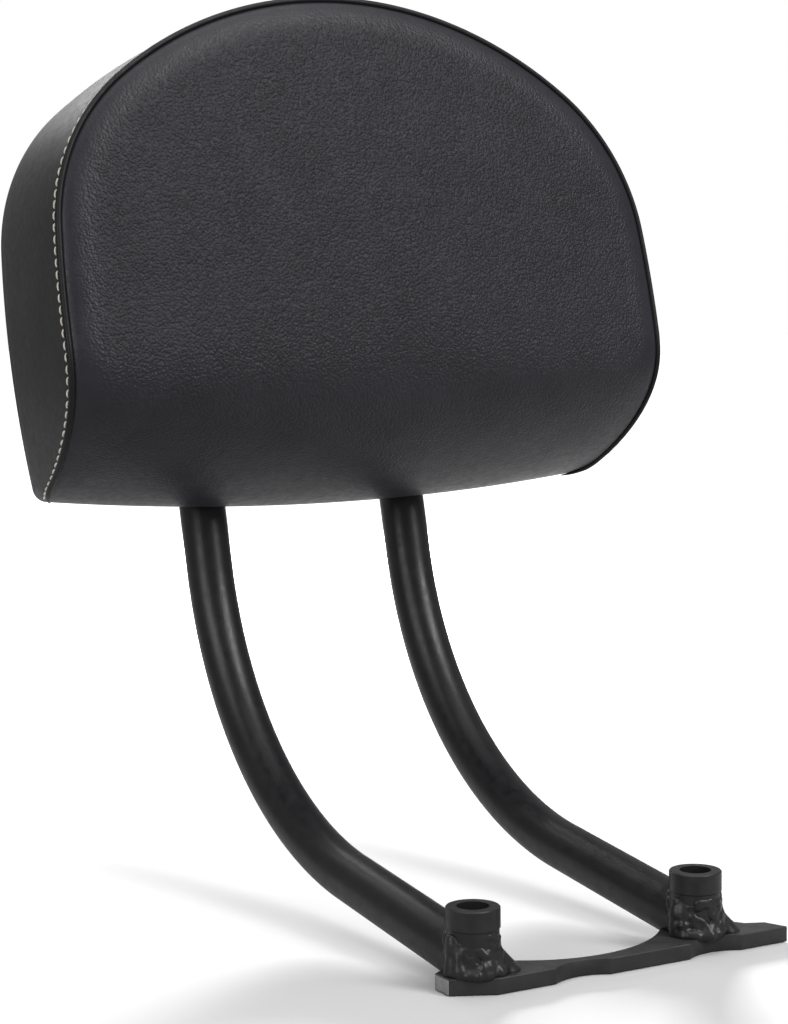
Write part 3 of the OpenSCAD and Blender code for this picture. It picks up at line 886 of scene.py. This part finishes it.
def make_camera():
    data = bpy.data.cameras.new("photo_camera")
    data.lens = CAMERA_LENS
    data.sensor_width = 36
    data.clip_start = 0.01
    camera = new_object("photo_camera", data)
    camera.matrix_world = (Matrix.Translation(CAMERA_AT)
                           @ Matrix.Rotation(math.radians(-CAMERA_TURN), 4, "Z")
                           @ Matrix.Rotation(math.radians(90 - CAMERA_DOWN), 4, "X")
                           @ Matrix.Rotation(math.radians(CAMERA_ROLL), 4, "Z"))
    bpy.context.scene.camera = camera


def make_floor():
    """A pale floor that the camera sees as plain white, with only the soft shadows on it."""
    n = Nodes("studio_floor")
    seen_by = n.add("LightPath").outputs["Is Camera Ray"]
    shade = n.scatter(6.0, 0.0, 0.02)
    pale = n.add("MapRange", {"Value": seen_by}, in_To_Min=FLOOR_BOUNCE, in_To_Max=FLOOR_PALE)
    tone = n.add("Math", {0: pale.outputs["Result"], 1: shade}, operation="SUBTRACT")
    n.join(tone.outputs["Value"], n.shader.inputs["Base Color"])
    n.set(Roughness=0.9, Specular_IOR_Level=0.1)
    far = n.add("VectorMath", {0: n.place()}, operation="LENGTH")
    glow = n.add("MapRange", {"Value": far.outputs["Value"]}, interpolation_type="SMOOTHSTEP",
                 in_From_Min=0.3, in_From_Max=0.9, in_To_Min=0.0, in_To_Max=1.1)
    seen = n.add("Math", {0: glow.outputs["Result"], 1: seen_by}, operation="MULTIPLY")
    n.join(seen.outputs["Value"], n.shader.inputs["Emission Strength"])
    n.shader.inputs["Emission Color"].default_value = (1, 1, 1, 1)
    mesh = bpy.data.meshes.new("studio_floor")
    corners = [(x * FLOOR_REACH, y * FLOOR_REACH, 0) for x, y in ((-1, -1), (1, -1), (1, 1), (-1, 1))]
    mesh.from_pydata(corners, [], [(0, 1, 2, 3)])
    floor = new_object("studio_floor", mesh)
    floor.location.z = -FLOOR_GAP
    floor.data.materials.append(n.material)


def make_light(name, place, aim, size, power, mirrored=True):
    """A soft box. One that isn't mirrored lights things without a gleam on them."""
    data = bpy.data.lights.new(name, "AREA")
    data.shape = "RECTANGLE"
    data.size, data.size_y = size
    data.energy = power
    lamp = new_object(name, data)
    lamp.location = place
    lamp.rotation_euler = (Vector(aim) - Vector(place)).to_track_quat("-Z", "Y").to_euler()
    lamp.visible_glossy = mirrored


def make_sky(strength):
    """A white sky that lights the object softly and that the camera sees as plain white."""
    world = bpy.data.worlds.new("studio_air")
    world.use_nodes = True
    tree = world.node_tree
    back = tree.nodes["Background"]
    back.inputs["Color"].default_value = (1, 1, 1, 1)
    back.inputs["Strength"].default_value = strength
    seen = tree.nodes.new("ShaderNodeBackground")
    seen.inputs["Color"].default_value = (1, 1, 1, 1)
    seen.inputs["Strength"].default_value = 1.0
    path = tree.nodes.new("ShaderNodeLightPath")
    mix = tree.nodes.new("ShaderNodeMixShader")
    tree.links.new(path.outputs["Is Camera Ray"], mix.inputs["Fac"])
    tree.links.new(back.outputs["Background"], mix.inputs[1])
    tree.links.new(seen.outputs["Background"], mix.inputs[2])
    tree.links.new(mix.outputs["Shader"], tree.nodes["World Output"].inputs["Surface"])
    bpy.context.scene.world = world


bpy.context.scene.view_settings.view_transform = "Standard"
make_camera()
make_floor()
make_sky(0.24)
MIDDLE = (0, 0.12, 0.18)
FOOT = (0, 0, 0.01)
make_light("key_light", (1.0, -1.7, 1.9), MIDDLE, (0.8, 1.7), 43)
make_light("side_light", (-1.5, -0.4, 0.8), MIDDLE, (0.8, 1.0), 8)
make_light("top_light", (0.0, 0.3, 2.0), MIDDLE, (1.8, 1.8), 17)
make_light("back_light", (0.9, 1.35, 0.40), FOOT, (0.4, 0.2), 75, mirrored=False)
make_light("back_gleam", (0.1, 1.9, 1.2), FOOT, (0.9, 0.5), 6)
